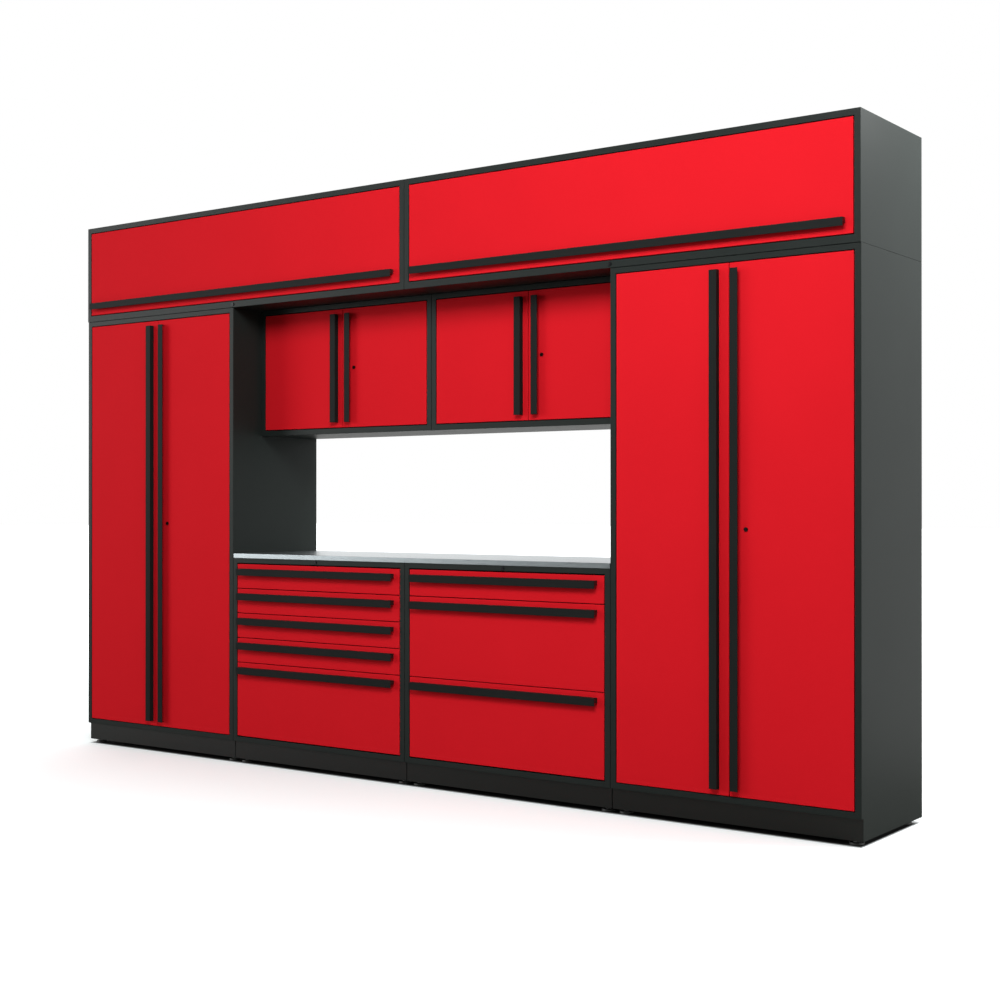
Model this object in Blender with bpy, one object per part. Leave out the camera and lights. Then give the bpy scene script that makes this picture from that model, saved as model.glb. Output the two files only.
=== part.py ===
"""Modular garage cabinet wall: two tall lockers, two drawer units under one steel worktop, two wall
cabinets over an open niche, and two long overhead cabinets with flip-up doors. Metres, +Z up, the
fronts face -Y. Every sub-part is one closed solid in its own object."""

import math

import bmesh
import bpy
from mathutils import Matrix, Vector

# Driving dimensions
UNIT = 0.9144  # width of one floor module
DEPTH = 0.502
FLOOR_GAP = 0.016  # under the side panels
KICK_TOP = 0.088
KICK_RECESS = 0.014
BASE_TOP = 0.841
WORKTOP_TOP = 0.8595
WALL_BOTTOM = 1.347
WALL_FRONT = 0.162  # behind the locker fronts
TALL_TOP = 1.8725
OVERHEAD_TOP = 2.2892
OVERHEAD_PROUD = 0.0035

# Sheet metal and face frames
SHEET = 0.0012
STILE = 0.0215
RAIL = 0.020
OVERHEAD_TOP_RAIL = 0.022
OVERHEAD_LOW_RAIL = 0.026
FRAME_DEEP = 0.018
DOOR_GAP = 0.003
DOOR_DEEP = 0.018
SEAM = 0.0016  # between modules that stand against each other
EMBED = 0.0006  # how far a welded piece runs into its neighbour
CLEAR = 0.010  # how far a cut runs past the surface that it opens

# Angle bar handles: a face, with a web along one edge that stands on the door
BAR_FACE = 0.028
BAR_OUT = 0.021  # front of the bar, ahead of its door
BAR_WALL = 0.0022
BAR_END = 0.020  # from the door's top or bottom edge to the end of an upright bar
BAR_LEFT_END = 0.010  # from the door's side edges to the ends of a level bar
BAR_RIGHT_END = 0.027
WEB_APART = 0.0485  # between the webs of two doors' bars
WALL_BARS = 0.0  # middle between those webs, to the right of the split between the doors
LOCKER_BARS = {"locker_left": -0.003, "locker_right": -0.0125}
DRAWER_BAR_DROP = 0.018  # from the drawer's top edge to the web
OVERHEAD_BAR_RISE = 0.0515  # from the door's bottom edge to the web
TOUCH = 0.0003  # left between pieces that bear on each other

# Drawers
DRAWER_PITCH = 0.101
DRAWER_BOX_DEEP = 0.440
DRAWER_SIDE_IN = 0.004  # box side, in from the frame opening
DRAWER_SKIN = 0.0010
SLIDE_TALL = 0.020
SLIDE_PLAY = 0.0005
SLIDE_START = 0.004  # behind the drawer's front
SLIDE_SHORT = 0.010  # of the box's back
BOX_LOW = 0.010
BOX_HEADROOM = 0.028

# Locks
LOCK_RADIUS = 0.0066
LOCK_PROUD = 0.003
LOCK_HOLE = 0.0070
LOCK_LONG = 0.0215
CAM_THICK = 0.003
CAM_WIDE = 0.012
KEY_SLOT = (0.0007, 0.004)  # half its width and half its height
KEY_SLOT_DEEP = 0.002
DOOR_CAM = 0.072
RAIL_CAM = 0.024
DOOR_LOCK_X = 0.060  # from the split between two doors

# Levelling feet
FOOT_RADIUS = 0.0235
FOOT_THICK = 0.0075
STEM_RADIUS = 0.006
FOOT_SIDE = 0.036
FOOT_FRONT = 0.048
FOOT_REAR = 0.065

# Gas struts, seen from the end of an overhead door: (behind, below) its hinge line
STRUT_FIXED = (0.300, -0.060)
STRUT_MOVING = (0.032, -0.190)
STRUT_X = 0.036
TUBE_RADIUS = 0.009
TUBE_BORE = 0.0044
TUBE_LONG = 0.236
ROD_RADIUS = 0.004
EYE_RADIUS = 0.007
EYE_WIDE = 0.012
TUBE_EYE_RADIUS = 0.011
TUBE_EYE_WIDE = 0.0192
ROD_PLAY = 0.004
BRACKET_OFFSET = 0.006
BRACKET_THICK = 0.003
BRACKET_HALF = 0.012
STUD_RADIUS = 0.004
ROD_END_GAP = 0.012

SHELF_LIP = 0.020
SHELF_BACK = 0.012  # behind the frame of a locker
WALL_SHELF_BACK = 0.030  # behind the front of a wall cabinet
WALL_LOW_RAIL = 0.022
LOCKER_SHELVES = 3
LOCKER_LEFTS = (-2 * UNIT, UNIT)
INNER_LEFTS = (-UNIT, 0.0)
OVERHEAD_LEFTS = (-2 * UNIT, 0.0)
SIDES = ("left", "right")

# The origin is under the middle of the whole object, bars included.
REACH = BAR_OUT + OVERHEAD_PROUD
FRONT = REACH - (DEPTH + REACH) / 2
BACK = FRONT + DEPTH
INSIDE = FRONT + FRAME_DEEP + DOOR_GAP

for old in list(bpy.data.objects):
    bpy.data.objects.remove(old, do_unlink=True)

parts = bpy.data.collections.new("garage_cabinet_wall")
cutters = bpy.data.collections.new("cutters")
for group in (parts, cutters):
    bpy.context.scene.collection.children.link(group)


def material(name, colour, roughness, metallic):
    made = bpy.data.materials.new(name)
    made.use_nodes = True
    shader = made.node_tree.nodes["Principled BSDF"]
    shader.inputs["Base Color"].default_value = (*colour, 1.0)
    shader.inputs["Roughness"].default_value = roughness
    shader.inputs["Metallic"].default_value = metallic
    return made


RED = material("door_red", (0.70, 0.012, 0.016), 0.45, 0.0)
CHARCOAL = material("frame_charcoal", (0.045, 0.050, 0.050), 0.55, 0.0)
BLACK = material("handle_black", (0.012, 0.013, 0.013), 0.45, 0.0)
STEEL = material("brushed_steel", (0.55, 0.57, 0.58), 0.35, 1.0)
CHROME = material("bright_metal", (0.60, 0.60, 0.60), 0.20, 1.0)


# Building blocks


def as_object(name, mesh_tool):
    mesh = bpy.data.meshes.new(name)
    mesh_tool.to_mesh(mesh)
    mesh_tool.free()
    return bpy.data.objects.new(name, mesh)


def block(name, low, high):
    """A box between two opposite corners."""
    low, high = Vector(low), Vector(high)
    tool = bmesh.new()
    size = high - low
    bmesh.ops.create_cube(tool, size=1.0, matrix=Matrix.Diagonal((*size, 1.0)))
    bmesh.ops.translate(tool, verts=tool.verts, vec=(low + high) / 2)
    return as_object(name, tool)


def cylinder(name, start, end, radius, sides=24):
    """A round bar from start to end."""
    start, end = Vector(start), Vector(end)
    along = end - start
    tool = bmesh.new()
    turn = along.to_track_quat("Z", "Y").to_matrix().to_4x4()
    middle = Matrix.Translation((start + end) / 2)
    bmesh.ops.create_cone(tool, cap_ends=True, segments=sides, radius1=radius, radius2=radius,
                          depth=along.length, matrix=middle @ turn)
    return as_object(name, tool)


def change(body, tool, operation):
    """Adds or removes the tool's solid, which stays in the cutters' collection."""
    cutters.objects.link(tool)
    tool.hide_render = True
    tool.display_type = "WIRE"
    step = body.modifiers.new(tool.name, "BOOLEAN")
    step.operation = operation
    step.solver = "EXACT"
    step.object = tool


def cut(body, tool):
    change(body, tool, "DIFFERENCE")


def join(body, tool):
    change(body, tool, "UNION")


def keep(body, paint, pivot=None, parent=None):
    """Makes the object a sub-part, with its origin on its joint's axis."""
    parts.objects.link(body)
    body.data.materials.append(paint)
    if pivot is not None:
        body.data.transform(Matrix.Translation(-Vector(pivot)))
        body.location = pivot
    if parent is not None:
        body.parent = parent
        body.location = body.location - parent.location
    return body


# Cabinet bodies


def face_frame(body, left, right, front, back, low, high, low_rail, top_rail):
    """Hollows a cabinet and leaves a folded frame round its opening. Returns the opening."""
    cut(body, block(body.name + "_inside",
                    (left + SHEET, front + SHEET, low + SHEET),
                    (right - SHEET, back - SHEET, high - SHEET)))
    x0, x1 = left + STILE, right - STILE
    z0, z1 = low + low_rail, high - top_rail
    join(body, block(body.name + "_return",
                     (x0 - SHEET, front + EMBED, z0 - SHEET), (x1 + SHEET, front + FRAME_DEEP, z1 + SHEET)))
    cut(body, block(body.name + "_opening",
                    (x0, front - CLEAR, z0), (x1, front + FRAME_DEEP + CLEAR, z1)))
    return x0, x1, z0, z1


def shelf(body, number, left, right, front, back, top):
    """A folded shelf with a turned-down front lip, welded to the sides."""
    plate = block(f"{body.name}_shelf_{number}",
                  (left + EMBED, front, top - SHEET), (right - EMBED, back - EMBED, top))
    lip = block(f"{body.name}_lip_{number}",
                (left + EMBED, front, top - SHELF_LIP), (right - EMBED, front + SHEET, top - EMBED))
    join(body, plate)
    join(body, lip)


def floor_body(name, left, top):
    """A floor module: folded body, recessed kick plate and four levelling feet."""
    right = left + UNIT
    x0, x1 = left + SEAM / 2, right - SEAM / 2
    body = block(name, (x0, FRONT, FLOOR_GAP), (x1, BACK, top))
    cut(body, block(name + "_kick_recess",
                    (x0 - CLEAR, FRONT - CLEAR, FLOOR_GAP - CLEAR),
                    (x1 + CLEAR, FRONT + KICK_RECESS, KICK_TOP)))
    floor_top = KICK_TOP + RAIL
    cut(body, block(name + "_under_rail",
                    (x0 + SHEET, FRONT + SHEET, KICK_TOP + SHEET),
                    (x1 - SHEET, BACK - SHEET, floor_top - SHEET)))
    cut(body, block(name + "_under",
                    (x0 + SHEET, FRONT + KICK_RECESS + SHEET, FLOOR_GAP - CLEAR),
                    (x1 - SHEET, BACK - SHEET, KICK_TOP + 2 * SHEET)))
    cut(body, block(name + "_inside",
                    (x0 + SHEET, FRONT + SHEET, floor_top), (x1 - SHEET, BACK - SHEET, top - SHEET)))
    opening_top = top - RAIL
    join(body, block(name + "_return",
                     (x0 + STILE - SHEET, FRONT + EMBED, floor_top - EMBED),
                     (x1 - STILE + SHEET, FRONT + FRAME_DEEP, opening_top + SHEET)))
    cut(body, block(name + "_opening",
                    (x0 + STILE, FRONT - CLEAR, floor_top),
                    (x1 - STILE, FRONT + FRAME_DEEP + CLEAR, opening_top)))
    for i, x in enumerate((x0 + FOOT_SIDE, x1 - FOOT_SIDE)):
        for j, y in enumerate((FRONT + FOOT_FRONT, BACK - FOOT_REAR)):
            stem_top = (x, y, floor_top - EMBED)
            join(body, cylinder(f"{name}_stem_{i}{j}", (x, y, EMBED), stem_top, STEM_RADIUS, 12))
            join(body, cylinder(f"{name}_foot_{i}{j}", (x, y, 0.0), (x, y, FOOT_THICK), FOOT_RADIUS))
    return body


def lock_hole(body, place):
    x, y, z = place
    cut(body, cylinder(body.name + "_lock_hole", (x, y - CLEAR, z), (x, y + CLEAR, z), LOCK_HOLE, 32))


def lock(name, place, cam_reach, cam_turn, parent=None):
    """A cam lock at its face centre: barrel, head and a cam behind, turned cam_turn from straight down."""
    x, y, z = place
    back = y + LOCK_LONG
    barrel = cylinder(name, (x, y - LOCK_PROUD, z), (x, back, z), LOCK_RADIUS, 32)
    cam = block(name + "_cam", (x - CAM_WIDE / 2, back - EMBED, z - cam_reach),
                (x + CAM_WIDE / 2, back + CAM_THICK, z + CAM_WIDE / 2))
    spin = Matrix.Translation(place) @ Matrix.Rotation(cam_turn, 4, "Y") @ Matrix.Translation(-Vector(place))
    cam.data.transform(spin)
    join(barrel, cam)
    wide, tall = KEY_SLOT
    face = y - LOCK_PROUD
    cut(barrel, block(name + "_key_slot", (x - wide, face - CLEAR, z - tall),
                      (x + wide, face + KEY_SLOT_DEEP, z + tall)))
    return keep(barrel, CHROME, place, parent)


# Doors, drawers and handles


def pan(name, x0, x1, z0, z1, front):
    """A folded steel front, open behind."""
    body = block(name, (x0, front, z0), (x1, front + DOOR_DEEP, z1))
    cut(body, block(name + "_hollow",
                    (x0 + SHEET, front + SHEET, z0 + SHEET),
                    (x1 - SHEET, front + DOOR_DEEP + CLEAR, z1 - SHEET)))
    return body


def bar_handle(name, low, high, web_side, front, pivot, parent):
    """An angle bar between two corners (x, z) of its face, with its web along one edge."""
    (x0, z0), (x1, z1) = low, high
    face = front - BAR_OUT
    bar = block(name, (x0, face, z0), (x1, face + BAR_WALL, z1))
    web_low = [x0, face + EMBED, z0]
    web_high = [x1, front - TOUCH, z1]
    if web_side == "left":
        web_high[0] = x0 + BAR_WALL
    elif web_side == "right":
        web_low[0] = x1 - BAR_WALL
    else:
        web_low[2] = z1 - BAR_WALL
    join(bar, block(name + "_web", web_low, web_high))
    return keep(bar, BLACK, pivot, parent)


def level_bar(door, x0, x1, web_z, front):
    """A bar across a drawer or flip-up door, hooked from below."""
    low = (x0 + BAR_LEFT_END, web_z - BAR_FACE)
    high = (x1 - BAR_RIGHT_END, web_z)
    bar_handle(door.name + "_handle", low, high, "top", front, ((x0 + x1) / 2, front, web_z), door)


def swing_door(name, x0, x1, z0, z1, front, hinge_side, web_x, lock_x=None):
    """An inset door on a vertical hinge, with its full-height bar and, on one of a pair, a lock."""
    door = pan(name, x0, x1, z0, z1, front)
    hinge = (x0 if hinge_side == "left" else x1, front, (z0 + z1) / 2)
    keep(door, RED, hinge)
    if hinge_side == "left":
        web_side, bar_x0 = "right", web_x - BAR_FACE
    else:
        web_side, bar_x0 = "left", web_x
    bar_handle(name + "_handle", (bar_x0, z0 + BAR_END), (bar_x0 + BAR_FACE, z1 - BAR_END), web_side, front,
               (bar_x0 + BAR_FACE / 2, front, (z0 + z1) / 2), door)
    if lock_x is not None:
        place = (lock_x, front, (z0 + z1) / 2)
        lock_hole(door, place)
        lock(name.replace("_door_right", "_lock"), place, DOOR_CAM, 0.0, door)
    return door


def door_pair(cabinet, left, right, front, z0, z1, bars):
    """Two doors in an opening, split in the middle, with the lock on the right-hand one."""
    middle = (left + right) / 2
    webs = middle + bars - WEB_APART / 2, middle + bars + WEB_APART / 2
    swing_door(cabinet + "_door_left", left + DOOR_GAP, middle - DOOR_GAP / 2, z0, z1, front, "left",
               webs[0])
    swing_door(cabinet + "_door_right", middle + DOOR_GAP / 2, right - DOOR_GAP, z0, z1, front, "right",
               webs[1], middle + DOOR_LOCK_X)


def drawer(name, left, right, z0, z1):
    """A drawer: folded front, sheet steel box and the slide member on each side."""
    front = pan(name, left + DOOR_GAP, right - DOOR_GAP, z0, z1, FRONT)
    x0, x1 = left + DRAWER_SIDE_IN, right - DRAWER_SIDE_IN
    y1 = FRONT + DOOR_DEEP + DRAWER_BOX_DEEP
    low, top = z0 + BOX_LOW, z1 - BOX_HEADROOM
    join(front, block(name + "_box", (x0, FRONT + EMBED, low), (x1, y1, top)))
    cut(front, block(name + "_space",
                     (x0 + DRAWER_SKIN, FRONT + SHEET, low + DRAWER_SKIN),
                     (x1 - DRAWER_SKIN, y1 - DRAWER_SKIN, top + CLEAR)))
    slide = (low + top) / 2
    for side, (a, b) in enumerate(((left + SLIDE_PLAY, x0 + EMBED), (x1 - EMBED, right - SLIDE_PLAY))):
        join(front, block(f"{name}_slide_{side}",
                          (a, FRONT + DOOR_DEEP + SLIDE_START, slide - SLIDE_TALL / 2),
                          (b, y1 - SLIDE_SHORT, slide + SLIDE_TALL / 2)))
    pivot = ((left + right) / 2, FRONT, (z0 + z1) / 2)
    keep(front, RED, pivot)
    level_bar(front, left + DOOR_GAP, right - DOOR_GAP, z1 - DRAWER_BAR_DROP, FRONT)
    return slide


def drawer_unit(cabinet, left, rows):
    """A drawer module. rows holds each drawer's height in pitches, from the top."""
    body = floor_body(cabinet + "_body", left, BASE_TOP)
    x0, x1 = left + SEAM / 2, left + UNIT - SEAM / 2
    top = BASE_TOP - RAIL - DOOR_GAP
    for i, pitches in enumerate(rows):
        low = top - pitches * DRAWER_PITCH
        name = f"{cabinet}_drawer_{i + 1}"
        slide = drawer(name, x0 + STILE, x1 - STILE, low + DOOR_GAP / 2, top - DOOR_GAP / 2)
        rails = ((x0 + EMBED, x0 + STILE - SLIDE_PLAY), (x1 - STILE + SLIDE_PLAY, x1 - EMBED))
        for side, (a, b) in enumerate(rails):
            join(body, block(f"{cabinet}_rail_{i}{side}",
                             (a, FRONT + FRAME_DEEP + DOOR_GAP, slide - SLIDE_TALL / 2),
                             (b, FRONT + DRAWER_BOX_DEEP, slide + SLIDE_TALL / 2)))
        top = low
    place = (left + UNIT / 2, FRONT, BASE_TOP - RAIL / 2)
    lock_hole(body, place)
    keep(body, CHARCOAL)
    lock(cabinet + "_lock", place, RAIL_CAM, -math.pi / 2)


def locker(cabinet, left):
    body = floor_body(cabinet + "_body", left, TALL_TOP)
    low, high = KICK_TOP + RAIL, TALL_TOP - RAIL
    x0, x1 = left + SEAM / 2, left + UNIT - SEAM / 2
    for i in range(LOCKER_SHELVES):
        top = low + (i + 1) * (high - low) / (LOCKER_SHELVES + 1)
        shelf(body, i + 1, x0, x1, INSIDE + SHELF_BACK, BACK, top)
    keep(body, CHARCOAL)
    door_pair(cabinet, x0 + STILE, x1 - STILE, FRONT, low + DOOR_GAP, high - DOOR_GAP,
              LOCKER_BARS[cabinet])


def wall_cabinet(cabinet, left):
    front = FRONT + WALL_FRONT
    x0, x1 = left + SEAM / 2, left + UNIT - SEAM / 2
    top = TALL_TOP - TOUCH
    body = block(cabinet + "_body", (x0, front, WALL_BOTTOM), (x1, BACK, top))
    opening = face_frame(body, x0, x1, front, BACK, WALL_BOTTOM, top, WALL_LOW_RAIL, RAIL)
    keep(body, CHARCOAL)
    door_pair(cabinet, opening[0], opening[1], front, opening[2] + DOOR_GAP, opening[3] - DOOR_GAP,
              WALL_BARS)
    middle = (WALL_BOTTOM + top) / 2
    a, b = x0 + SHEET + TOUCH, x1 - SHEET - TOUCH
    shelf_front = front + WALL_SHELF_BACK
    plate = block(cabinet + "_shelf", (a, shelf_front, middle - SHEET), (b, BACK - SHEET - TOUCH, middle))
    join(plate, block(cabinet + "_shelf_lip", (a, shelf_front, middle - SHELF_LIP),
                      (b, shelf_front + SHEET, middle - EMBED)))
    keep(plate, CHARCOAL)


# Overhead cabinets


def strut(cabinet, x, hinge_y, hinge_z, body, door):
    """A gas strut from a stud on the cabinet's side to a bracket on the door."""
    fixed = Vector((x, hinge_y + STRUT_FIXED[0], hinge_z + STRUT_FIXED[1]))
    moving = Vector((x, hinge_y + STRUT_MOVING[0], hinge_z + STRUT_MOVING[1]))
    along = (moving - fixed).normalized()
    half = Vector((EYE_WIDE / 2, 0, 0))
    half_tube = Vector((TUBE_EYE_WIDE / 2, 0, 0))
    tube = cylinder(cabinet + "_strut_cylinder", fixed, fixed + along * TUBE_LONG, TUBE_RADIUS)
    join(tube, cylinder(cabinet + "_tube_eye", fixed - half_tube, fixed + half_tube, TUBE_EYE_RADIUS, 20))
    bore_end = fixed + along * (TUBE_LONG + CLEAR)
    cut(tube, cylinder(cabinet + "_tube_bore", fixed + along * ROD_END_GAP, bore_end, TUBE_BORE))
    keep(tube, BLACK, fixed)
    rod = cylinder(cabinet + "_strut_rod", fixed + along * (ROD_END_GAP + ROD_PLAY), moving, ROD_RADIUS)
    join(rod, cylinder(cabinet + "_rod_eye", moving - half, moving + half, EYE_RADIUS, 20))
    keep(rod, CHROME, moving, tube)
    stud = fixed - half_tube - Vector((SEAM, 0, 0))
    join(body, cylinder(cabinet + "_stud", (x - STRUT_X + EMBED, fixed.y, fixed.z), stud, STUD_RADIUS, 16))
    plate_x = x + half.x + BRACKET_OFFSET
    join(door, block(cabinet + "_bracket", (plate_x, hinge_y + EMBED, moving.z - BRACKET_HALF),
                     (plate_x + BRACKET_THICK, moving.y + EYE_RADIUS, moving.z + BRACKET_HALF)))
    join(door, cylinder(cabinet + "_bracket_pin", (x + half.x + SEAM, moving.y, moving.z),
                        (plate_x + EMBED, moving.y, moving.z), STUD_RADIUS, 16))


def overhead_cabinet(cabinet, left):
    """A long cabinet over two modules, with one flip-up door hinged along its top."""
    front = FRONT - OVERHEAD_PROUD
    x0, x1 = left + SEAM / 2, left + 2 * UNIT - SEAM / 2
    low = TALL_TOP + TOUCH
    body = block(cabinet + "_body", (x0, front, low), (x1, BACK, OVERHEAD_TOP))
    a, b, z0, z1 = face_frame(body, x0, x1, front, BACK, low, OVERHEAD_TOP,
                              OVERHEAD_LOW_RAIL, OVERHEAD_TOP_RAIL)
    place = (left + UNIT, front, low + OVERHEAD_LOW_RAIL / 2)
    lock_hole(body, place)
    door_low, door_top = z0 + DOOR_GAP, z1 - DOOR_GAP
    door = pan(cabinet + "_door", a + DOOR_GAP, b - DOOR_GAP, door_low, door_top, front)
    strut(cabinet, x0 + STRUT_X, front, door_top, body, door)
    keep(body, CHARCOAL)
    keep(door, RED, ((a + b) / 2, front, door_top))
    level_bar(door, a + DOOR_GAP, b - DOOR_GAP, door_low + OVERHEAD_BAR_RISE, front)
    lock(cabinet + "_lock", place, RAIL_CAM, math.pi / 2)


def worktop():
    """A folded stainless sheet over both drawer modules, open underneath."""
    x0, x1 = -UNIT + SEAM, UNIT - SEAM
    low = BASE_TOP + TOUCH
    top = block("worktop", (x0, FRONT, low), (x1, BACK, WORKTOP_TOP))
    cut(top, block("worktop_hollow", (x0 + SHEET, FRONT + SHEET, low - CLEAR),
                   (x1 - SHEET, BACK - SHEET, WORKTOP_TOP - SHEET)))
    keep(top, STEEL)


for side, x in zip(SIDES, LOCKER_LEFTS):
    locker("locker_" + side, x)
drawer_unit("base_left", INNER_LEFTS[0], (1, 1, 1, 1, 3))
drawer_unit("base_right", INNER_LEFTS[1], (1, 3, 3))
worktop()
for side, x in zip(SIDES, INNER_LEFTS):
    wall_cabinet("wall_" + side, x)
for side, x in zip(SIDES, OVERHEAD_LEFTS):
    overhead_cabinet("overhead_" + side, x)
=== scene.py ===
"""The looks of the garage cabinet wall: materials, rounded edges, fittings and light, built round the
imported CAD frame. Metres, +Z up, the fronts face -Y."""

import math

import bmesh
import bpy
from mathutils import Matrix, Vector


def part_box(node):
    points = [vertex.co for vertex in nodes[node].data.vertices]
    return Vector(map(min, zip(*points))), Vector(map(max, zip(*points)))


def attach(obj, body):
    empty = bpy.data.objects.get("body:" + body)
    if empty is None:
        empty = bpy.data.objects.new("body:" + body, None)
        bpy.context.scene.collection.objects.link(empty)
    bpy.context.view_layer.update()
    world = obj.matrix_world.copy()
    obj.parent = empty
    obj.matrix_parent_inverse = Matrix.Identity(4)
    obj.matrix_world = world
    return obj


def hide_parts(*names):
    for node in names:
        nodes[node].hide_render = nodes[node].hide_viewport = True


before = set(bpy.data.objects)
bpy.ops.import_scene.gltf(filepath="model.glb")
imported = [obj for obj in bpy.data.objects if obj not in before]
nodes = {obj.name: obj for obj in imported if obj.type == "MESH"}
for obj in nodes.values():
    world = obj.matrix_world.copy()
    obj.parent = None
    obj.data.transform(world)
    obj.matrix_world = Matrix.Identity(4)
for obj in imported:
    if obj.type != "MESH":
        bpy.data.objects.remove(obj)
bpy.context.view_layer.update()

# Camera: to the right of the cabinets and about 1 m up, placed from the left locker's near bottom corner
CAMERA_FROM_CORNER = (5.6090, -4.5637, 1.0625)
CAMERA_TURN = math.radians(36.155)
CAMERA_LIFT = math.radians(0.15)
CAMERA_LENS = 56.41
CAMERA_SENSOR = 36.0
CAMERA_SIGHT = 200.0

# Sheet thickness, and how far the kinds of edge are rounded
SHEET = 0.0012
THIN_EDGE = 0.0002
SMALL_EDGE = 0.0003
FINE_EDGE = 0.0004
PLAIN_EDGE = 0.0005
MILD_EDGE = 0.0006
BAR_EDGE = 0.0008
FOLD_EDGE = 0.0010
SOFT_EDGE = 0.0014

# Cleaning of meshes: how close points are joined, and which turns count as flat and as sharp
WELD = 0.00001
WELD_TURNED = 0.000001
FLAT_TURN = math.radians(1.0)
SHARP_TURN = math.radians(35)

# Sizes of the CAD that the fittings need: the top of the kick, a door's depth, and how far the door opening
# of a cabinet is from its side
KICK_TOP = 0.0876
DOOR_DEEP = 0.018
OPEN_SIDE = 0.0215

LOCKERS = ("locker_left", "locker_right")
DRAWER_UNITS = {"base_left": 5, "base_right": 3}
WALLS = ("wall_left", "wall_right")
OVERHEADS = ("overhead_left", "overhead_right")
ROOT = "cabinet"


# Shader nodes


def new_material(name):
    made = bpy.data.materials.new(name)
    made.use_nodes = True
    return made, made.node_tree.nodes, made.node_tree.links


def noise(n, links, coords, scale, detail, stretch=(1, 1, 1)):
    """A noise pattern of so many cells a metre, optionally stretched along an axis."""
    mapping = n.new("ShaderNodeMapping")
    mapping.inputs["Scale"].default_value = stretch
    links.new(coords, mapping.inputs["Vector"])
    pattern = n.new("ShaderNodeTexNoise")
    pattern.inputs["Scale"].default_value = scale
    pattern.inputs["Detail"].default_value = detail
    links.new(mapping.outputs["Vector"], pattern.inputs["Vector"])
    return pattern.outputs["Fac"]


def ramp(n, links, source, low, high, start=0.3, end=0.7):
    """Turns a pattern into a value that goes from low to high as the pattern goes from start to end."""
    node = n.new("ShaderNodeMapRange")
    node.inputs["From Min"].default_value = start
    node.inputs["From Max"].default_value = end
    node.inputs["To Min"].default_value = low
    node.inputs["To Max"].default_value = high
    links.new(source, node.inputs["Value"])
    return node.outputs["Result"]


def combine(n, links, operation, first, second):
    """A Math node over two linked values."""
    node = n.new("ShaderNodeMath")
    node.operation = operation
    links.new(first, node.inputs[0])
    links.new(second, node.inputs[1])
    return node.outputs["Value"]


def scaled_sum(n, links, slow, share, fine):
    """Adds a share of a slow pattern to a fine one."""
    node = n.new("ShaderNodeMath")
    node.operation = "MULTIPLY_ADD"
    links.new(slow, node.inputs[0])
    node.inputs[1].default_value = share
    links.new(fine, node.inputs[2])
    return node.outputs["Value"]


def blend_colours(n, links, share, first, second):
    """A colour from first to second as share goes from 0 to 1. Each is a colour or another node's output."""
    node = n.new("ShaderNodeMix")
    node.data_type = "RGBA"
    for socket, colour in (("A", first), ("B", second)):
        if isinstance(colour, tuple):
            node.inputs[socket].default_value = (*colour, 1)
        else:
            links.new(colour, node.inputs[socket])
    links.new(share, node.inputs["Factor"])
    return node.outputs["Result"]


def bump(n, links, height, depth, shader):
    node = n.new("ShaderNodeBump")
    node.inputs["Strength"].default_value = 1.0
    node.inputs["Distance"].default_value = depth
    links.new(height, node.inputs["Height"])
    links.new(node.outputs["Normal"], shader.inputs["Normal"])


# Materials. Scales are cells a metre, and depths are metres

PEBBLE_SCALE = 950
PEBBLE_DEPTH = 0.00012
DRIFT_SCALE = 3.5
SCRATCH_SCALE = 900
SCRATCH_DEPTH = 0.00004
CLOUD_SCALE = 6.0


def powder_coat(name, dark, light, rough, specular):
    """Baked powder paint: a fine pebbled grain, a slow drift of tone, and shine that follows the grain."""
    made, n, links = new_material(name)
    shader = n["Principled BSDF"]
    coords = n.new("ShaderNodeTexCoord").outputs["Object"]
    pebble = noise(n, links, coords, PEBBLE_SCALE, 3.0)
    drift = noise(n, links, coords, DRIFT_SCALE, 2.0)
    tone = scaled_sum(n, links, drift, 0.35, ramp(n, links, pebble, 0.0, 0.65))
    links.new(blend_colours(n, links, tone, dark, light), shader.inputs["Base Color"])
    links.new(ramp(n, links, pebble, rough - 0.05, rough + 0.06), shader.inputs["Roughness"])
    shader.inputs["Specular IOR Level"].default_value = specular
    bump(n, links, pebble, PEBBLE_DEPTH, shader)
    return made


def brushed(name, dark, light, rough, stretch):
    """Brushed metal: long fine scratches along one axis, over a faint cloudiness."""
    made, n, links = new_material(name)
    shader = n["Principled BSDF"]
    coords = n.new("ShaderNodeTexCoord").outputs["Object"]
    scratch = noise(n, links, coords, SCRATCH_SCALE, 4.0, stretch)
    cloud = noise(n, links, coords, CLOUD_SCALE, 3.0)
    tone = scaled_sum(n, links, cloud, 0.4, ramp(n, links, scratch, 0.0, 0.6))
    links.new(blend_colours(n, links, tone, dark, light), shader.inputs["Base Color"])
    links.new(ramp(n, links, scratch, rough - 0.06, rough + 0.08), shader.inputs["Roughness"])
    shader.inputs["Metallic"].default_value = 1.0
    bump(n, links, scratch, SCRATCH_DEPTH, shader)
    return made


def moulded(name, dark, light, rough, scale, metallic=0.0, depth=0.00006):
    """Rubber, gloss paint or plated metal: close grain and small changes in shine."""
    made, n, links = new_material(name)
    shader = n["Principled BSDF"]
    coords = n.new("ShaderNodeTexCoord").outputs["Object"]
    grain = noise(n, links, coords, scale, 4.0)
    links.new(blend_colours(n, links, grain, dark, light), shader.inputs["Base Color"])
    links.new(ramp(n, links, grain, rough - 0.06, rough + 0.06), shader.inputs["Roughness"])
    shader.inputs["Metallic"].default_value = metallic
    bump(n, links, grain, depth, shader)
    return made


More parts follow.
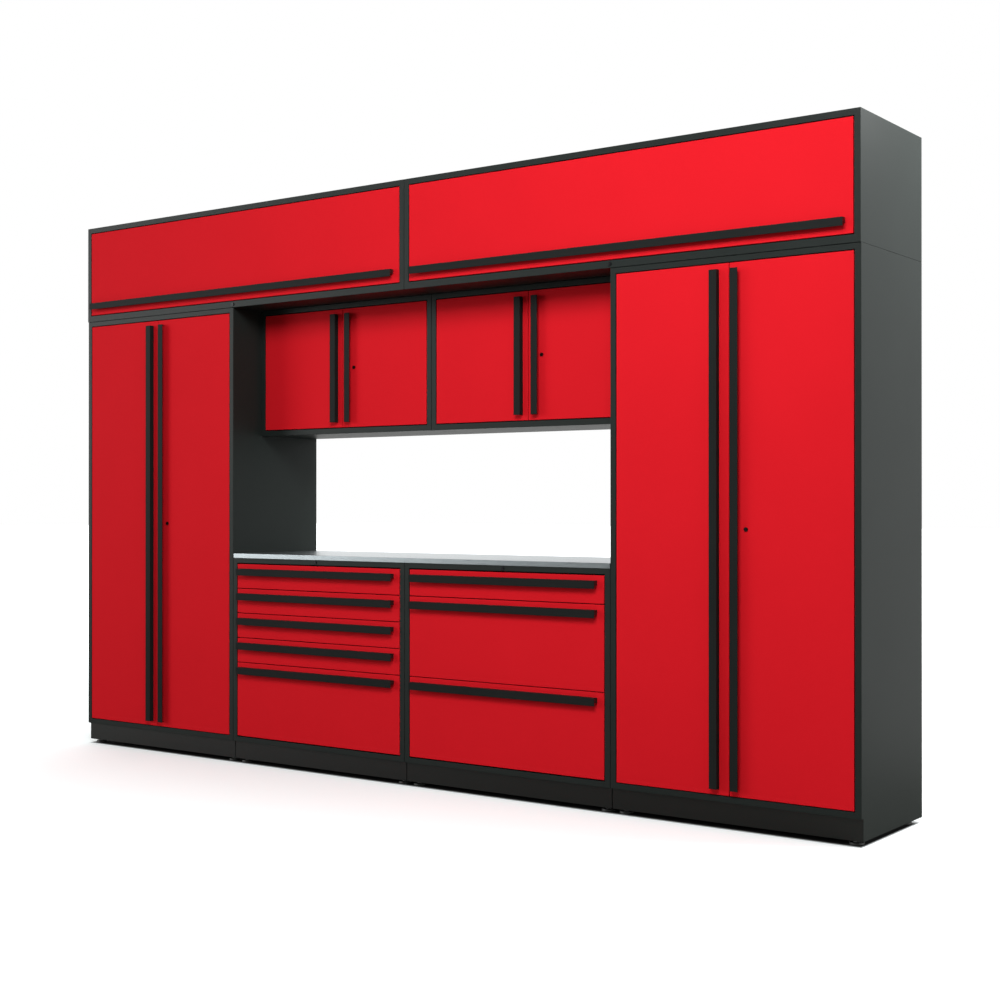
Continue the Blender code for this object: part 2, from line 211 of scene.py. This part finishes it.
RED = powder_coat("red_powder_coat", dark=(0.55, 0.008, 0.014), light=(0.66, 0.011, 0.019),
                  rough=0.58, specular=0.015)
CHARCOAL = powder_coat("charcoal_powder_coat", dark=(0.009, 0.012, 0.011), light=(0.020, 0.025, 0.023),
                       rough=0.42, specular=0.10)
# The kick plates' colour is their dark paint made far darker still, as painted shade of their recess under
# the fronts
KICK_SHADE_PAINT = powder_coat("kick_coat_with_painted_shade", dark=(0.001, 0.001, 0.001), light=(0.002, 0.003, 0.002),
                   rough=0.30, specular=0.50)
BLACK = powder_coat("black_powder_coat", dark=(0.008, 0.009, 0.009), light=(0.018, 0.020, 0.019),
                    rough=0.45, specular=0.03)
BOX_GREY = powder_coat("box_powder_coat", dark=(0.055, 0.058, 0.058), light=(0.085, 0.088, 0.087),
                       rough=0.48, specular=0.45)
STEEL = brushed("brushed_stainless", dark=(0.27, 0.30, 0.315), light=(0.36, 0.40, 0.415),
                rough=0.32, stretch=(0.02, 1, 1))
ZINC = brushed("zinc_plate", dark=(0.42, 0.43, 0.44), light=(0.66, 0.67, 0.68),
               rough=0.34, stretch=(1, 0.04, 1))
CHROME = moulded("polished_chrome", dark=(0.60, 0.61, 0.62), light=(0.78, 0.79, 0.80),
                 rough=0.12, scale=700, metallic=1.0, depth=0.00001)
LOCK_METAL = moulded("dark_nickel", dark=(0.014, 0.014, 0.015), light=(0.040, 0.040, 0.042),
                     rough=0.40, scale=600, metallic=1.0, depth=0.00002)
GLOSS_BLACK = moulded("strut_paint", dark=(0.006, 0.006, 0.006), light=(0.014, 0.014, 0.014),
                      rough=0.22, scale=300)
RUBBER = moulded("foot_rubber", dark=(0.016, 0.016, 0.015), light=(0.034, 0.034, 0.031),
                 rough=0.55, scale=500)


# Building blocks


def round_edges(obj, width, parts=2, clamp=True):
    """Rounds every sharp edge. clamp keeps the rounding from overlapping where a shape is thin."""
    rounding = obj.modifiers.new("rounding", "BEVEL")
    rounding.use_clamp_overlap = clamp
    rounding.width = width
    rounding.segments = parts
    rounding.limit_method = "ANGLE"
    rounding.angle_limit = SHARP_TURN
    rounding.harden_normals = True
    obj.data.shade_smooth()


def piece(name, fill, paint, body, edge=FINE_EDGE, parts=2):
    """A new piece on a CAD body. The function fill adds its shape to a bmesh."""
    tool = bmesh.new()
    fill(tool)
    mesh = bpy.data.meshes.new(name)
    tool.to_mesh(mesh)
    tool.free()
    mesh.materials.append(paint)
    obj = bpy.data.objects.new(name, mesh)
    bpy.context.scene.collection.objects.link(obj)
    round_edges(obj, edge, parts)
    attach(obj, body)
    return obj


def add_box(tool, low, high):
    low, high = Vector(low), Vector(high)
    made = bmesh.ops.create_cube(tool, size=1.0, matrix=Matrix.Diagonal((*(high - low), 1.0)))
    bmesh.ops.translate(tool, verts=made["verts"], vec=(low + high) / 2)


def add_round(tool, start, end, radius, sides=24, end_radius=None):
    """A round bar or cone from start to end."""
    start, end = Vector(start), Vector(end)
    along = end - start
    turn = along.to_track_quat("Z", "Y").to_matrix().to_4x4()
    bmesh.ops.create_cone(tool, cap_ends=True, segments=sides, radius1=radius,
                          radius2=radius if end_radius is None else end_radius, depth=along.length,
                          matrix=Matrix.Translation((start + end) / 2) @ turn)


def add_tray(tool, low, high, sheet, open_side):
    """Five sheets of a folded tray. open_side is the axis and end that stays open, such as ('y', 1)."""
    low, high = Vector(low), Vector(high)
    axis = "xyz".index(open_side[0])
    for side in range(3):
        for end in (0, 1):
            if side == axis and end == open_side[1]:
                continue
            a, b = low.copy(), high.copy()
            if end:
                a[side] = high[side] - sheet
            else:
                b[side] = low[side] + sheet
            add_box(tool, a, b)


def add_turned(tool, profile, place, steps):
    """A shape turned about an upright line at place. profile is (radius, height) from bottom to top."""
    ring = [tool.verts.new((r, 0, h)) for r, h in profile]
    for a, b in zip(ring, ring[1:]):
        tool.edges.new((a, b))
    bmesh.ops.spin(tool, geom=tool.verts[:] + tool.edges[:], axis=(0, 0, 1), cent=(0, 0, 0),
                   steps=steps, angle=2 * math.pi)
    bmesh.ops.remove_doubles(tool, verts=tool.verts, dist=WELD_TURNED)
    bmesh.ops.recalc_face_normals(tool, faces=tool.faces)
    bmesh.ops.translate(tool, verts=tool.verts, vec=place)


def dress(name, paint, edge, clamp=True):
    """Gives a CAD node that keeps its shape a better material and rounded edges, and clears the normals
    that the pack stored, which would streak its flat faces."""
    obj = nodes[name]
    stored = obj.data.attributes.get("custom_normal")
    if stored is not None:
        obj.data.attributes.remove(stored)
    obj.data.materials.clear()
    obj.data.materials.append(paint)
    weld = obj.modifiers.new("weld", "WELD")
    weld.merge_threshold = WELD
    flatten = obj.modifiers.new("flatten", "DECIMATE")
    flatten.decimate_type = "DISSOLVE"
    flatten.angle_limit = FLAT_TURN
    round_edges(obj, edge, clamp=clamp)


# Kick plates: folded plates under the floor units' fronts

KICK_SET_BACK = 0.014
KICK_PROUD = 0.0004
KICK_FOLD = 0.012
FLOOR_GAP = 0.016


def kick_plate(unit):
    low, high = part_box(unit + "_body")
    front = low.y + KICK_SET_BACK - KICK_PROUD

    def fill(tool):
        add_tray(tool, (low.x + FINE_EDGE, front, FLOOR_GAP),
                 (high.x - FINE_EDGE, front + KICK_FOLD, KICK_TOP), SHEET, ("y", 1))

    # The kick plate takes the colour with the recess's painted shade in it
    piece(unit + "_kick_plate", fill, KICK_SHADE_PAINT, ROOT)


# Levelling feet: where they stand from a unit's sides, front and back, then radii and heights over the floor

FOOT_X = 0.036
FOOT_FRONT = 0.048
FOOT_REAR = 0.065
PAD_RADIUS = 0.0240
PAD_CHAMFER = 0.0015
PAD_RIM = 0.0060
PAD_TOP = 0.0084
NUT_RADIUS = 0.0110
NUT_TOP = 0.0118
STEM_RADIUS = 0.0062
STEM_FOOT = 0.0110
STEM_TOP = 0.0860
THREADS = 12
THREAD_RADIUS = 0.0068
THREAD_FOOT = 0.0122
THREAD_PITCH = 0.0015
THREAD_THICK = 0.0008


def levelling_feet(unit):
    """Four turned feet: a pad with a sloped shoulder, a hexagon nut and a threaded stem."""
    low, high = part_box(unit + "_body")
    neck = PAD_RADIUS - PAD_CHAMFER
    profile = [(0.0, 0.0), (neck, 0.0), (PAD_RADIUS, PAD_CHAMFER), (PAD_RADIUS, PAD_RIM), (neck, PAD_TOP),
               (0.0, PAD_TOP)]
    for i, x in enumerate((low.x + FOOT_X, high.x - FOOT_X)):
        for j, y in enumerate((low.y + FOOT_FRONT, high.y - FOOT_REAR)):

            def pad(tool, x=x, y=y):
                add_turned(tool, profile, (x, y, 0.0), steps=40)

            piece(f"{unit}_foot_pad_{i}{j}", pad, RUBBER, ROOT)

            def stem(tool, x=x, y=y):
                add_round(tool, (x, y, PAD_TOP), (x, y, NUT_TOP), NUT_RADIUS, sides=6)
                add_round(tool, (x, y, STEM_FOOT), (x, y, STEM_TOP), STEM_RADIUS, sides=20)
                for turn in range(THREADS):
                    height = THREAD_FOOT + turn * THREAD_PITCH
                    add_round(tool, (x, y, height), (x, y, height + THREAD_THICK), THREAD_RADIUS, sides=20)

            piece(f"{unit}_foot_stem_{i}{j}", stem, ZINC, ROOT, THIN_EDGE, parts=1)


# Rivets on the back panels

RIVET_INSET = 0.012
RIVET_PITCH = 0.18
RIVET_RADIUS = 0.0035
RIVET_CROWN = 0.0022
RIVET_SUNK = 0.0005
RIVET_PROUD = 0.0012


def rivets(unit):
    """Rivet heads along the edges of a cabinet's back panel."""
    low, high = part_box(unit + "_body")
    bottom = max(low.z, KICK_TOP)
    x0, x1 = low.x + RIVET_INSET, high.x - RIVET_INSET
    z0, z1 = bottom + RIVET_INSET, high.z - RIVET_INSET
    across = round((high.x - low.x) / RIVET_PITCH)
    upward = round((high.z - bottom) / RIVET_PITCH)

    def head(tool, x, z):
        add_round(tool, (x, high.y - RIVET_SUNK, z), (x, high.y + RIVET_PROUD, z), RIVET_RADIUS,
                  sides=16, end_radius=RIVET_CROWN)

    def fill(tool):
        for z in (z0, z1):
            for i in range(across + 1):
                head(tool, x0 + i * (x1 - x0) / across, z)
        for x in (x0, x1):
            for i in range(1, upward):
                head(tool, x, z0 + i * (z1 - z0) / upward)

    piece(unit + "_back_rivets", fill, CHARCOAL, ROOT, SMALL_EDGE, parts=1)


# Shelf standards: slotted strips inside a locker's corners that the shelf clips hook into

STANDARD_IN = 0.060
STANDARD_HALF = 0.008
STANDARD_DEEP = 0.004
STANDARD_FACE = 0.003
STANDARD_LOW = 0.115
STANDARD_HIGH = 1.845
SLOT_HALF = 0.005
SLOT_PITCH = 0.025
SLOT_WEB = 0.6


def shelf_standards(unit):
    low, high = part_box(unit + "_body")
    for i, (x, inward) in enumerate(((low.x + SHEET, 1), (high.x - SHEET, -1))):
        for j, y in enumerate((low.y + STANDARD_IN, high.y - STANDARD_IN)):

            def fill(tool, x=x, y=y, inward=inward):
                near, far = sorted((x, x + inward * STANDARD_DEEP))
                for a, b in ((-STANDARD_HALF, -SLOT_HALF), (SLOT_HALF, STANDARD_HALF)):
                    add_box(tool, (near, y + a, STANDARD_LOW), (far, y + b, STANDARD_HIGH))
                near, far = sorted((x + inward * STANDARD_FACE, x + inward * STANDARD_DEEP))
                for k in range(int((STANDARD_HIGH - STANDARD_LOW) / SLOT_PITCH)):
                    z = STANDARD_LOW + k * SLOT_PITCH
                    add_box(tool, (near, y - SLOT_HALF, z), (far, y + SLOT_HALF, z + SLOT_PITCH * SLOT_WEB))

            piece(f"{unit}_shelf_standard_{i}{j}", fill, CHARCOAL, ROOT, THIN_EDGE, parts=1)


# Door liners: from the door's edges, then forward from its back

LINER_IN = SHEET + 0.0003
LINER_FRONT = 0.0032
LINER_BACK = 0.0020
BEAD_IN = 0.05
BEAD_FRONT = 0.0024
BEAD_BACK = 0.0004
BEAD_HALF = 0.018
BEAD_PITCH = 0.45
LOCK_HALF = 0.05
LOCK_CLEAR = 0.09


def door_liner(door):
    """The pressed inner panel of a folded door, with raised beads across it that keep clear of the lock."""
    low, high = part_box(door)
    back = low.y + DOOR_DEEP
    span = high.z - low.z
    wide = high.x - low.x > span
    beads = 1 if wide else max(2, round(span / BEAD_PITCH))

    def fill(tool):
        add_box(tool, (low.x + LINER_IN, back - LINER_FRONT, low.z + LINER_IN),
                (high.x - LINER_IN, back - LINER_BACK, high.z - LINER_IN))
        for i in range(beads):
            z = low.z + span * (i + 1) / (beads + 1)
            if abs(z - (low.z + high.z) / 2) < LOCK_HALF and not wide:
                z += LOCK_CLEAR
            add_box(tool, (low.x + BEAD_IN, back - BEAD_FRONT, z - BEAD_HALF),
                    (high.x - BEAD_IN, back - BEAD_BACK, z + BEAD_HALF))

    piece(door + "_liner", fill, RED, door, BAR_EDGE)


# Bar handles' end plugs: thickness, reach across the bar, and how far in from its faces, back and ends

CAP_THICK = 0.0016
CAP_REACH = 0.0170
CAP_IN = 0.0006
CAP_BACK = 0.0004
CAP_SUNK = 0.0002


def bar_caps(body, web):
    """Black plugs in both ends of a bar handle. web is the side of the bar that its web is on."""
    low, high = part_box(body + "_handle")
    front, back = low.y + CAP_IN, high.y - CAP_BACK

    def fill(tool):
        if web == "top":
            for x in (low.x + CAP_SUNK, high.x - CAP_SUNK - CAP_THICK):
                add_box(tool, (x, front, high.z - CAP_REACH), (x + CAP_THICK, back, high.z - CAP_IN))
            return
        x0, x1 = low.x + CAP_IN, low.x + CAP_REACH
        if web == "right":
            x0, x1 = high.x - CAP_REACH, high.x - CAP_IN
        for z in (low.z + CAP_SUNK, high.z - CAP_SUNK - CAP_THICK):
            add_box(tool, (x0, front, z), (x1, back, z + CAP_THICK))

    piece(body + "_bar_caps", fill, GLOSS_BLACK, body, SMALL_EDGE)


# Concealed hinges: IN is across from the door's edge and OUT from the opening's, SUNK is forward of the
# door's back, and PROUD, GAP and REACH are behind it

HINGE_END = 0.10
ARM_IN = (0.008, 0.052)
ARM_SUNK = 0.0015
ARM_PROUD = 0.0060
ARM_HALF = 0.011
CUP_IN = 0.034
CUP_SUNK = 0.0020
CUP_RADIUS = 0.017
CUP_LONG = 0.0045
SCREW_APART = 0.024
SCREW_RADIUS = 0.0036
SCREW_LONG = 0.0030
FLANGE_WIDE = 0.007
FLANGE_HALF = 0.030
FLANGE_SUNK = 0.0002
PLATE_OUT = (0.0012, 0.0170)
PLATE_GAP = 0.0025
PLATE_REACH = 0.0045
PLATE_HALF = 0.024
TONGUE_REACH = 0.0290
TONGUE_HALF = 0.013


def hinges(door, cabinet_edge, count):
    """A cup and arm for each hinge on the door's back, and a plate on the frame's return."""
    low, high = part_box(door)
    edge, inward = (low.x, 1) if door.endswith("_left") else (high.x, -1)
    back = low.y + DOOR_DEEP
    for i in range(count):
        z = low.z + HINGE_END + i * (high.z - low.z - 2 * HINGE_END) / (count - 1)

        def arm(tool, z=z):
            x0, x1 = sorted(edge + inward * reach for reach in ARM_IN)
            add_box(tool, (x0, back - ARM_SUNK, z - ARM_HALF), (x1, back + ARM_PROUD, z + ARM_HALF))
            x = edge + inward * CUP_IN
            cup = Vector((x, back - CUP_SUNK, z))
            add_round(tool, cup, cup + Vector((0, CUP_LONG, 0)), CUP_RADIUS, sides=28)
            for dz in (-SCREW_APART, SCREW_APART):
                screw = cup + Vector((0, 0, dz))
                add_round(tool, screw, screw + Vector((0, SCREW_LONG, 0)), SCREW_RADIUS, sides=16)
            add_box(tool, (x - FLANGE_WIDE, back - CUP_SUNK, z - FLANGE_HALF),
                    (x + FLANGE_WIDE, back - FLANGE_SUNK, z + FLANGE_HALF))

        piece(f"{door}_hinge_arm_{i}", arm, ZINC, door)

        def plate(tool, z=z):
            x0, x1 = sorted(cabinet_edge - inward * reach for reach in PLATE_OUT)
            front = back + PLATE_GAP
            add_box(tool, (x0, front, z - PLATE_HALF), (x1, back + PLATE_REACH, z + PLATE_HALF))
            add_box(tool, (x0, front, z - TONGUE_HALF), (x1, back + TONGUE_REACH, z + TONGUE_HALF))

        piece(f"{door}_hinge_plate_{i}", plate, ZINC, ROOT)


# Drawers: how far the front and the box stand in from the CAD drawer's sides, how far the box is from its
# bottom and top, the box's sheet and rolled edges, then the mat inside it and the slides beside it

FRONT_IN = 0.0025
BOX_IN = 0.0035
BOX_LIFT = 0.010
BOX_DROP = 0.028
BOX_SHEET = 0.0010
ROLL = 0.0045
ROLL_PROUD = 0.0002
MAT_IN = 0.003
MAT_LOW = 0.0012
MAT_HIGH = 0.0032
SLIDE_OUT = (0.0002, 0.0032)
SLIDE_FRONT = 0.004
SLIDE_BACK = 0.010
SLIDE_HALF = 0.010
SLIDE_LIP = 0.0015


def drawer(name):
    """A drawer as its separate pieces: folded front, rolled-edge box, mat and the slides."""
    low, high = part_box(name)
    back = low.y + DOOR_DEEP
    x0, x1 = low.x + BOX_IN, high.x - BOX_IN
    z0, z1 = low.z + BOX_LIFT, high.z - BOX_DROP

    def front(tool):
        add_box(tool, (low.x + FRONT_IN, low.y, low.z), (high.x - FRONT_IN, back, high.z))

    face = piece(name + "_front", front, RED, name, SOFT_EDGE, parts=3)

    def box(tool):
        add_tray(tool, (x0, back - BOX_SHEET, z0), (x1, high.y, z1), BOX_SHEET, ("z", 1))
        for a, b in ((x0 - ROLL_PROUD, x0 + ROLL), (x1 - ROLL, x1 + ROLL_PROUD)):
            add_box(tool, (a, back, z1 - ROLL), (b, high.y, z1))
        add_box(tool, (x0, high.y - ROLL, z1 - ROLL), (x1, high.y, z1))

    piece(name + "_box", box, BOX_GREY, name)

    def mat(tool):
        add_box(tool, (x0 + MAT_IN, back + MAT_IN, z0 + MAT_LOW),
                (x1 - MAT_IN, high.y - MAT_IN, z0 + MAT_HIGH))

    piece(name + "_mat", mat, RUBBER, name, MILD_EDGE)
    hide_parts(name)
    middle = (z0 + z1) / 2
    near, far = SLIDE_OUT
    for side, (a, b) in enumerate(((x0 - far, x0 - near), (x1 + near, x1 + far))):

        def member(tool, a=a, b=b):
            for bottom, top in ((-SLIDE_HALF, SLIDE_HALF), (-SLIDE_HALF, SLIDE_LIP - SLIDE_HALF),
                                (SLIDE_HALF - SLIDE_LIP, SLIDE_HALF)):
                add_box(tool, (a, back + SLIDE_FRONT, middle + bottom),
                        (b, high.y - SLIDE_BACK, middle + top))

        piece(f"{name}_slide_{side}", member, ZINC, name, SMALL_EDGE)


# Overhead struts: distances along the strut from its fixed end, then its ends' fittings

TUBE_ALONG = (0.010, 0.236)
TUBE_RADIUS = 0.009
COLLAR_ALONG = (0.228, 0.2375)
COLLAR_RADIUS = 0.0096
ROD_START = 0.2380
ROD_RADIUS = 0.004
TUBE_EYE = 0.011
TUBE_EYE_HALF = 0.0096
ROD_EYE = 0.007
ROD_EYE_HALF = 0.006
STUD_START = 0.0100
STUD_PLATE = 0.002
STUD_PLATE_HALF = 0.016
BRACKET_OFF = 0.012
BRACKET_THICK = 0.003
BRACKET_HALF = 0.012
PIN_SUNK = 0.001
PIN_END = 0.0064


def second_strut(cabinet):
    """The strut at the far end of an overhead door, on the same hinge lines as the CAD one."""
    tube_low, tube_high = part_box(cabinet + "_strut_cylinder")
    rod_low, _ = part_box(cabinet + "_strut_rod")
    body_low, body_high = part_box(cabinet + "_body")
    door_low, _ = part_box(cabinet + "_door")
    x = (body_low.x + body_high.x) - (tube_low.x + tube_high.x) / 2
    fixed = Vector((x, tube_high.y - TUBE_EYE, tube_high.z - TUBE_EYE))
    moving = Vector((x, rod_low.y + ROD_EYE, rod_low.z + ROD_EYE))
    along = (moving - fixed).normalized()
    side = Vector((1, 0, 0))
    wall = body_high.x - SHEET

    def tube(tool):
        for (start, end), radius in ((TUBE_ALONG, TUBE_RADIUS), (COLLAR_ALONG, COLLAR_RADIUS)):
            add_round(tool, fixed + along * start, fixed + along * end, radius)
        add_round(tool, fixed - side * TUBE_EYE_HALF, fixed + side * TUBE_EYE_HALF, TUBE_EYE)

    piece(cabinet + "_strut_cylinder_far", tube, GLOSS_BLACK, cabinet + "_strut_cylinder", MILD_EDGE)

    def rod(tool):
        add_round(tool, fixed + along * ROD_START, moving, ROD_RADIUS)
        add_round(tool, moving - side * ROD_EYE_HALF, moving + side * ROD_EYE_HALF, ROD_EYE)

    piece(cabinet + "_strut_rod_far", rod, CHROME, cabinet + "_strut_rod")

    def stud(tool):
        add_round(tool, fixed + side * STUD_START, (wall, fixed.y, fixed.z), ROD_RADIUS, sides=16)
        add_box(tool, (wall - STUD_PLATE, fixed.y - STUD_PLATE_HALF, fixed.z - STUD_PLATE_HALF),
                (wall, fixed.y + STUD_PLATE_HALF, fixed.z + STUD_PLATE_HALF))

    piece(cabinet + "_strut_stud_far", stud, ZINC, ROOT)

    def bracket(tool):
        face = x - BRACKET_OFF
        add_box(tool, (face - BRACKET_THICK, door_low.y + SHEET, moving.z - BRACKET_HALF),
                (face, moving.y + ROD_EYE, moving.z + BRACKET_HALF))
        add_round(tool, (face - PIN_SUNK, moving.y, moving.z), (x - PIN_END, moving.y, moving.z),
                  ROD_RADIUS, sides=16)

    piece(cabinet + "_strut_bracket_far", bracket, ZINC, cabinet + "_door")


# The cabinets, unit by unit

for unit in (*LOCKERS, *DRAWER_UNITS):
    kick_plate(unit)
    levelling_feet(unit)
for unit in (*LOCKERS, *DRAWER_UNITS, *WALLS, *OVERHEADS):
    dress(unit + "_body", CHARCOAL, FOLD_EDGE, clamp=False)
    rivets(unit)
for unit in LOCKERS + WALLS:
    body_low, body_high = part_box(unit + "_body")
    for side, edge in (("left", body_low.x + OPEN_SIDE), ("right", body_high.x - OPEN_SIDE)):
        door = f"{unit}_door_{side}"
        dress(door, RED, FOLD_EDGE, clamp=False)
        dress(door + "_handle", BLACK, BAR_EDGE)
        bar_caps(door, "right" if side == "left" else "left")
        door_liner(door)
        hinges(door, edge, 4 if unit in LOCKERS else 2)
    dress(unit + "_lock", LOCK_METAL, PLAIN_EDGE)
for unit in LOCKERS:
    shelf_standards(unit)
for unit in WALLS:
    dress(unit + "_shelf", CHARCOAL, FINE_EDGE)
for unit, count in DRAWER_UNITS.items():
    dress(unit + "_lock", LOCK_METAL, PLAIN_EDGE)
    for i in range(count):
        drawer(f"{unit}_drawer_{i + 1}")
        dress(f"{unit}_drawer_{i + 1}_handle", BLACK, BAR_EDGE)
        bar_caps(f"{unit}_drawer_{i + 1}", "top")
dress("worktop", STEEL, PLAIN_EDGE)
for unit in OVERHEADS:
    dress(unit + "_door", RED, FOLD_EDGE, clamp=False)
    dress(unit + "_door_handle", BLACK, BAR_EDGE)
    bar_caps(unit + "_door", "top")
    dress(unit + "_lock", LOCK_METAL, PLAIN_EDGE)
    dress(unit + "_strut_cylinder", GLOSS_BLACK, PLAIN_EDGE)
    dress(unit + "_strut_rod", CHROME, FINE_EDGE)
    door_liner(unit + "_door")
    second_strut(unit)


# The floor: half its width and its drop, where and how strongly it glows, the steps of the shadow painted
# dark on it under the cabinets, and the colours that the camera and other rays see

FLOOR_HALF = 60.0
FLOOR_DROP = 0.0003
FLOOR_NEAR = 0.22
GLOW_REACH = (1.5, 6.0)
FLOOR_BEHIND = 0.8
BEHIND_REACH = (0.6, 2.4)
SIDE_STEP = (0.012, 0.004)
FRONT_STEP = (0.020, 0.004)
FLOOR_PALE = ((0.88, 0.93, 0.93), (0.91, 0.96, 0.96))
# The colour of the shadow painted on the floor under the cabinets, as the camera sees it
FLOOR_PAINTED_SHADOW = (0.03, 0.03, 0.03)
FLOOR_BOUNCE = (0.27, 0.28, 0.26)
WHITE = (1, 1, 1, 1)


def outside_painted_shadow(n, links, coords):
    """0 under the cabinets, where their shadow is painted on the floor, and 1 round them, with a short soft
    step at the edges of their footprint.
    """
    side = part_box("locker_right_body")[1].x
    front = -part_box("locker_left_body")[0].y
    spread = n.new("ShaderNodeVectorMath")
    spread.operation = "ABSOLUTE"
    links.new(coords, spread.inputs[0])
    reach = n.new("ShaderNodeSeparateXYZ")
    links.new(spread.outputs["Vector"], reach.inputs["Vector"])
    past_side = ramp(n, links, reach.outputs["X"], 0.0, 1.0, side - SIDE_STEP[0], side + SIDE_STEP[1])
    past_front = ramp(n, links, reach.outputs["Y"], 0.0, 1.0, front - FRONT_STEP[0], front + FRONT_STEP[1])
    return combine(n, links, "MAXIMUM", past_side, past_front)


def floor_paint():
    """To the camera, pale and brightening into the white of the studio away from the cabinets, and painted
    dark under them as their shadow, with the glow turned off there. To other rays a dim grey. Behind the
    cabinets it glows for both."""
    made, n, links = new_material("pale_floor")
    shader = n["Principled BSDF"]
    coords = n.new("ShaderNodeTexCoord").outputs["Object"]
    camera_ray = n.new("ShaderNodeLightPath").outputs["Is Camera Ray"]
    unshadowed_floor = outside_painted_shadow(n, links, coords)
    pale = blend_colours(n, links, noise(n, links, coords, 2.0, 2.0), *FLOOR_PALE)
    # Under the cabinets the camera sees the painted shadow colour instead of the pale floor
    seen = blend_colours(n, links, unshadowed_floor, FLOOR_PAINTED_SHADOW, pale)
    links.new(blend_colours(n, links, camera_ray, FLOOR_BOUNCE, seen), shader.inputs["Base Color"])
    shader.inputs["Roughness"].default_value = 0.9
    shader.inputs["Specular IOR Level"].default_value = 0.1
    shader.inputs["Emission Color"].default_value = WHITE
    distance = n.new("ShaderNodeVectorMath")
    distance.operation = "LENGTH"
    links.new(coords, distance.inputs[0])
    glow = ramp(n, links, distance.outputs["Value"], FLOOR_NEAR, 1.0, *GLOW_REACH)
    # The glow is turned off under the cabinets too, so the painted shadow there stays dark
    seen_glow = combine(n, links, "MULTIPLY", combine(n, links, "MULTIPLY", glow, unshadowed_floor), camera_ray)
    place = n.new("ShaderNodeSeparateXYZ")
    links.new(coords, place.inputs["Vector"])
    glow_behind = ramp(n, links, place.outputs["Y"], 0.0, FLOOR_BEHIND, *BEHIND_REACH)
    links.new(combine(n, links, "MAXIMUM", seen_glow, glow_behind), shader.inputs["Emission Strength"])
    return made


def plain_floor():
    mesh = bpy.data.meshes.new("floor")
    tool = bmesh.new()
    bmesh.ops.create_grid(tool, x_segments=1, y_segments=1, size=FLOOR_HALF)
    tool.to_mesh(mesh)
    tool.free()
    mesh.materials.append(floor_paint())
    floor = bpy.data.objects.new("floor", mesh)
    floor.location.z = -FLOOR_DROP
    bpy.context.scene.collection.objects.link(floor)


# Light: how bright each side of the room is to the pieces, and the directions between which it changes

ROOM_LEFT = 1.0
ROOM_RIGHT = 1.9
ROOM_FRONT = 0.06
ROOM_BACK = 1.10
LEFT_TURN = (-0.90, -0.50)
RIGHT_TURN = (0.75, 0.95)
BACK_TURN = (-0.1, 0.4)


def area_light(name, place, target, size, power):
    """A soft lamp of so many watts, turned to face the target."""
    lamp = bpy.data.lights.new(name, "AREA")
    lamp.shape = "RECTANGLE"
    lamp.size, lamp.size_y = size
    lamp.energy = power
    lamp_object = bpy.data.objects.new(name, lamp)
    lamp_object.location = place
    lamp_object.rotation_euler = (Vector(target) - Vector(place)).to_track_quat("-Z", "Y").to_euler()
    bpy.context.scene.collection.objects.link(lamp_object)


def studio_light():
    """A white studio: the camera sees plain white, and the pieces see a room that is bright behind, to the
    left and far to the right, and dim in front."""
    world = bpy.data.worlds.new("studio")
    bpy.context.scene.world = world
    world.use_nodes = True
    n, links = world.node_tree.nodes, world.node_tree.links
    room = n["Background"]
    room.inputs["Color"].default_value = WHITE
    axes = n.new("ShaderNodeSeparateXYZ")
    links.new(n.new("ShaderNodeTexCoord").outputs["Generated"], axes.inputs["Vector"])
    leftward = ramp(n, links, axes.outputs["X"], ROOM_LEFT, 0.0, *LEFT_TURN)
    rightward = ramp(n, links, axes.outputs["X"], 0.0, ROOM_RIGHT, *RIGHT_TURN)
    backward = ramp(n, links, axes.outputs["Y"], ROOM_FRONT, ROOM_BACK, *BACK_TURN)
    sides = combine(n, links, "ADD", leftward, rightward)
    links.new(combine(n, links, "ADD", sides, backward), room.inputs["Strength"])
    seen = n.new("ShaderNodeBackground")
    seen.inputs["Color"].default_value = WHITE
    seen.inputs["Strength"].default_value = 1.0
    mix = n.new("ShaderNodeMixShader")
    links.new(n.new("ShaderNodeLightPath").outputs["Is Camera Ray"], mix.inputs["Fac"])
    links.new(room.outputs["Background"], mix.inputs[1])
    links.new(seen.outputs["Background"], mix.inputs[2])
    links.new(mix.outputs["Shader"], n["World Output"].inputs["Surface"])
    area_light("key", place=(1.9, -3.2, 3.6), target=(0.8, -0.24, 1.9), size=(2.4, 1.4), power=160)
    area_light("fill", place=(-7.5, -5.5, 2.6), target=(-0.3, -0.24, 1.2), size=(4.5, 3.5), power=320)
    area_light("rim", place=(2.7, 0.5, 2.9), target=(1.83, 0.1, 2.1), size=(0.6, 0.6), power=60)


def photo_camera():
    lens = bpy.data.cameras.new("camera")
    lens.lens = CAMERA_LENS
    lens.sensor_width = CAMERA_SENSOR
    lens.clip_end = CAMERA_SIGHT
    camera = bpy.data.objects.new("camera", lens)
    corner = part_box("locker_left_body")[0]
    corner.z = 0.0
    camera.location = corner + Vector(CAMERA_FROM_CORNER)
    camera.rotation_euler = (math.pi / 2 + CAMERA_LIFT, 0.0, CAMERA_TURN)
    bpy.context.scene.collection.objects.link(camera)
    bpy.context.scene.camera = camera


plain_floor()
studio_light()
photo_camera()
bpy.context.scene.view_settings.view_transform = "Standard"
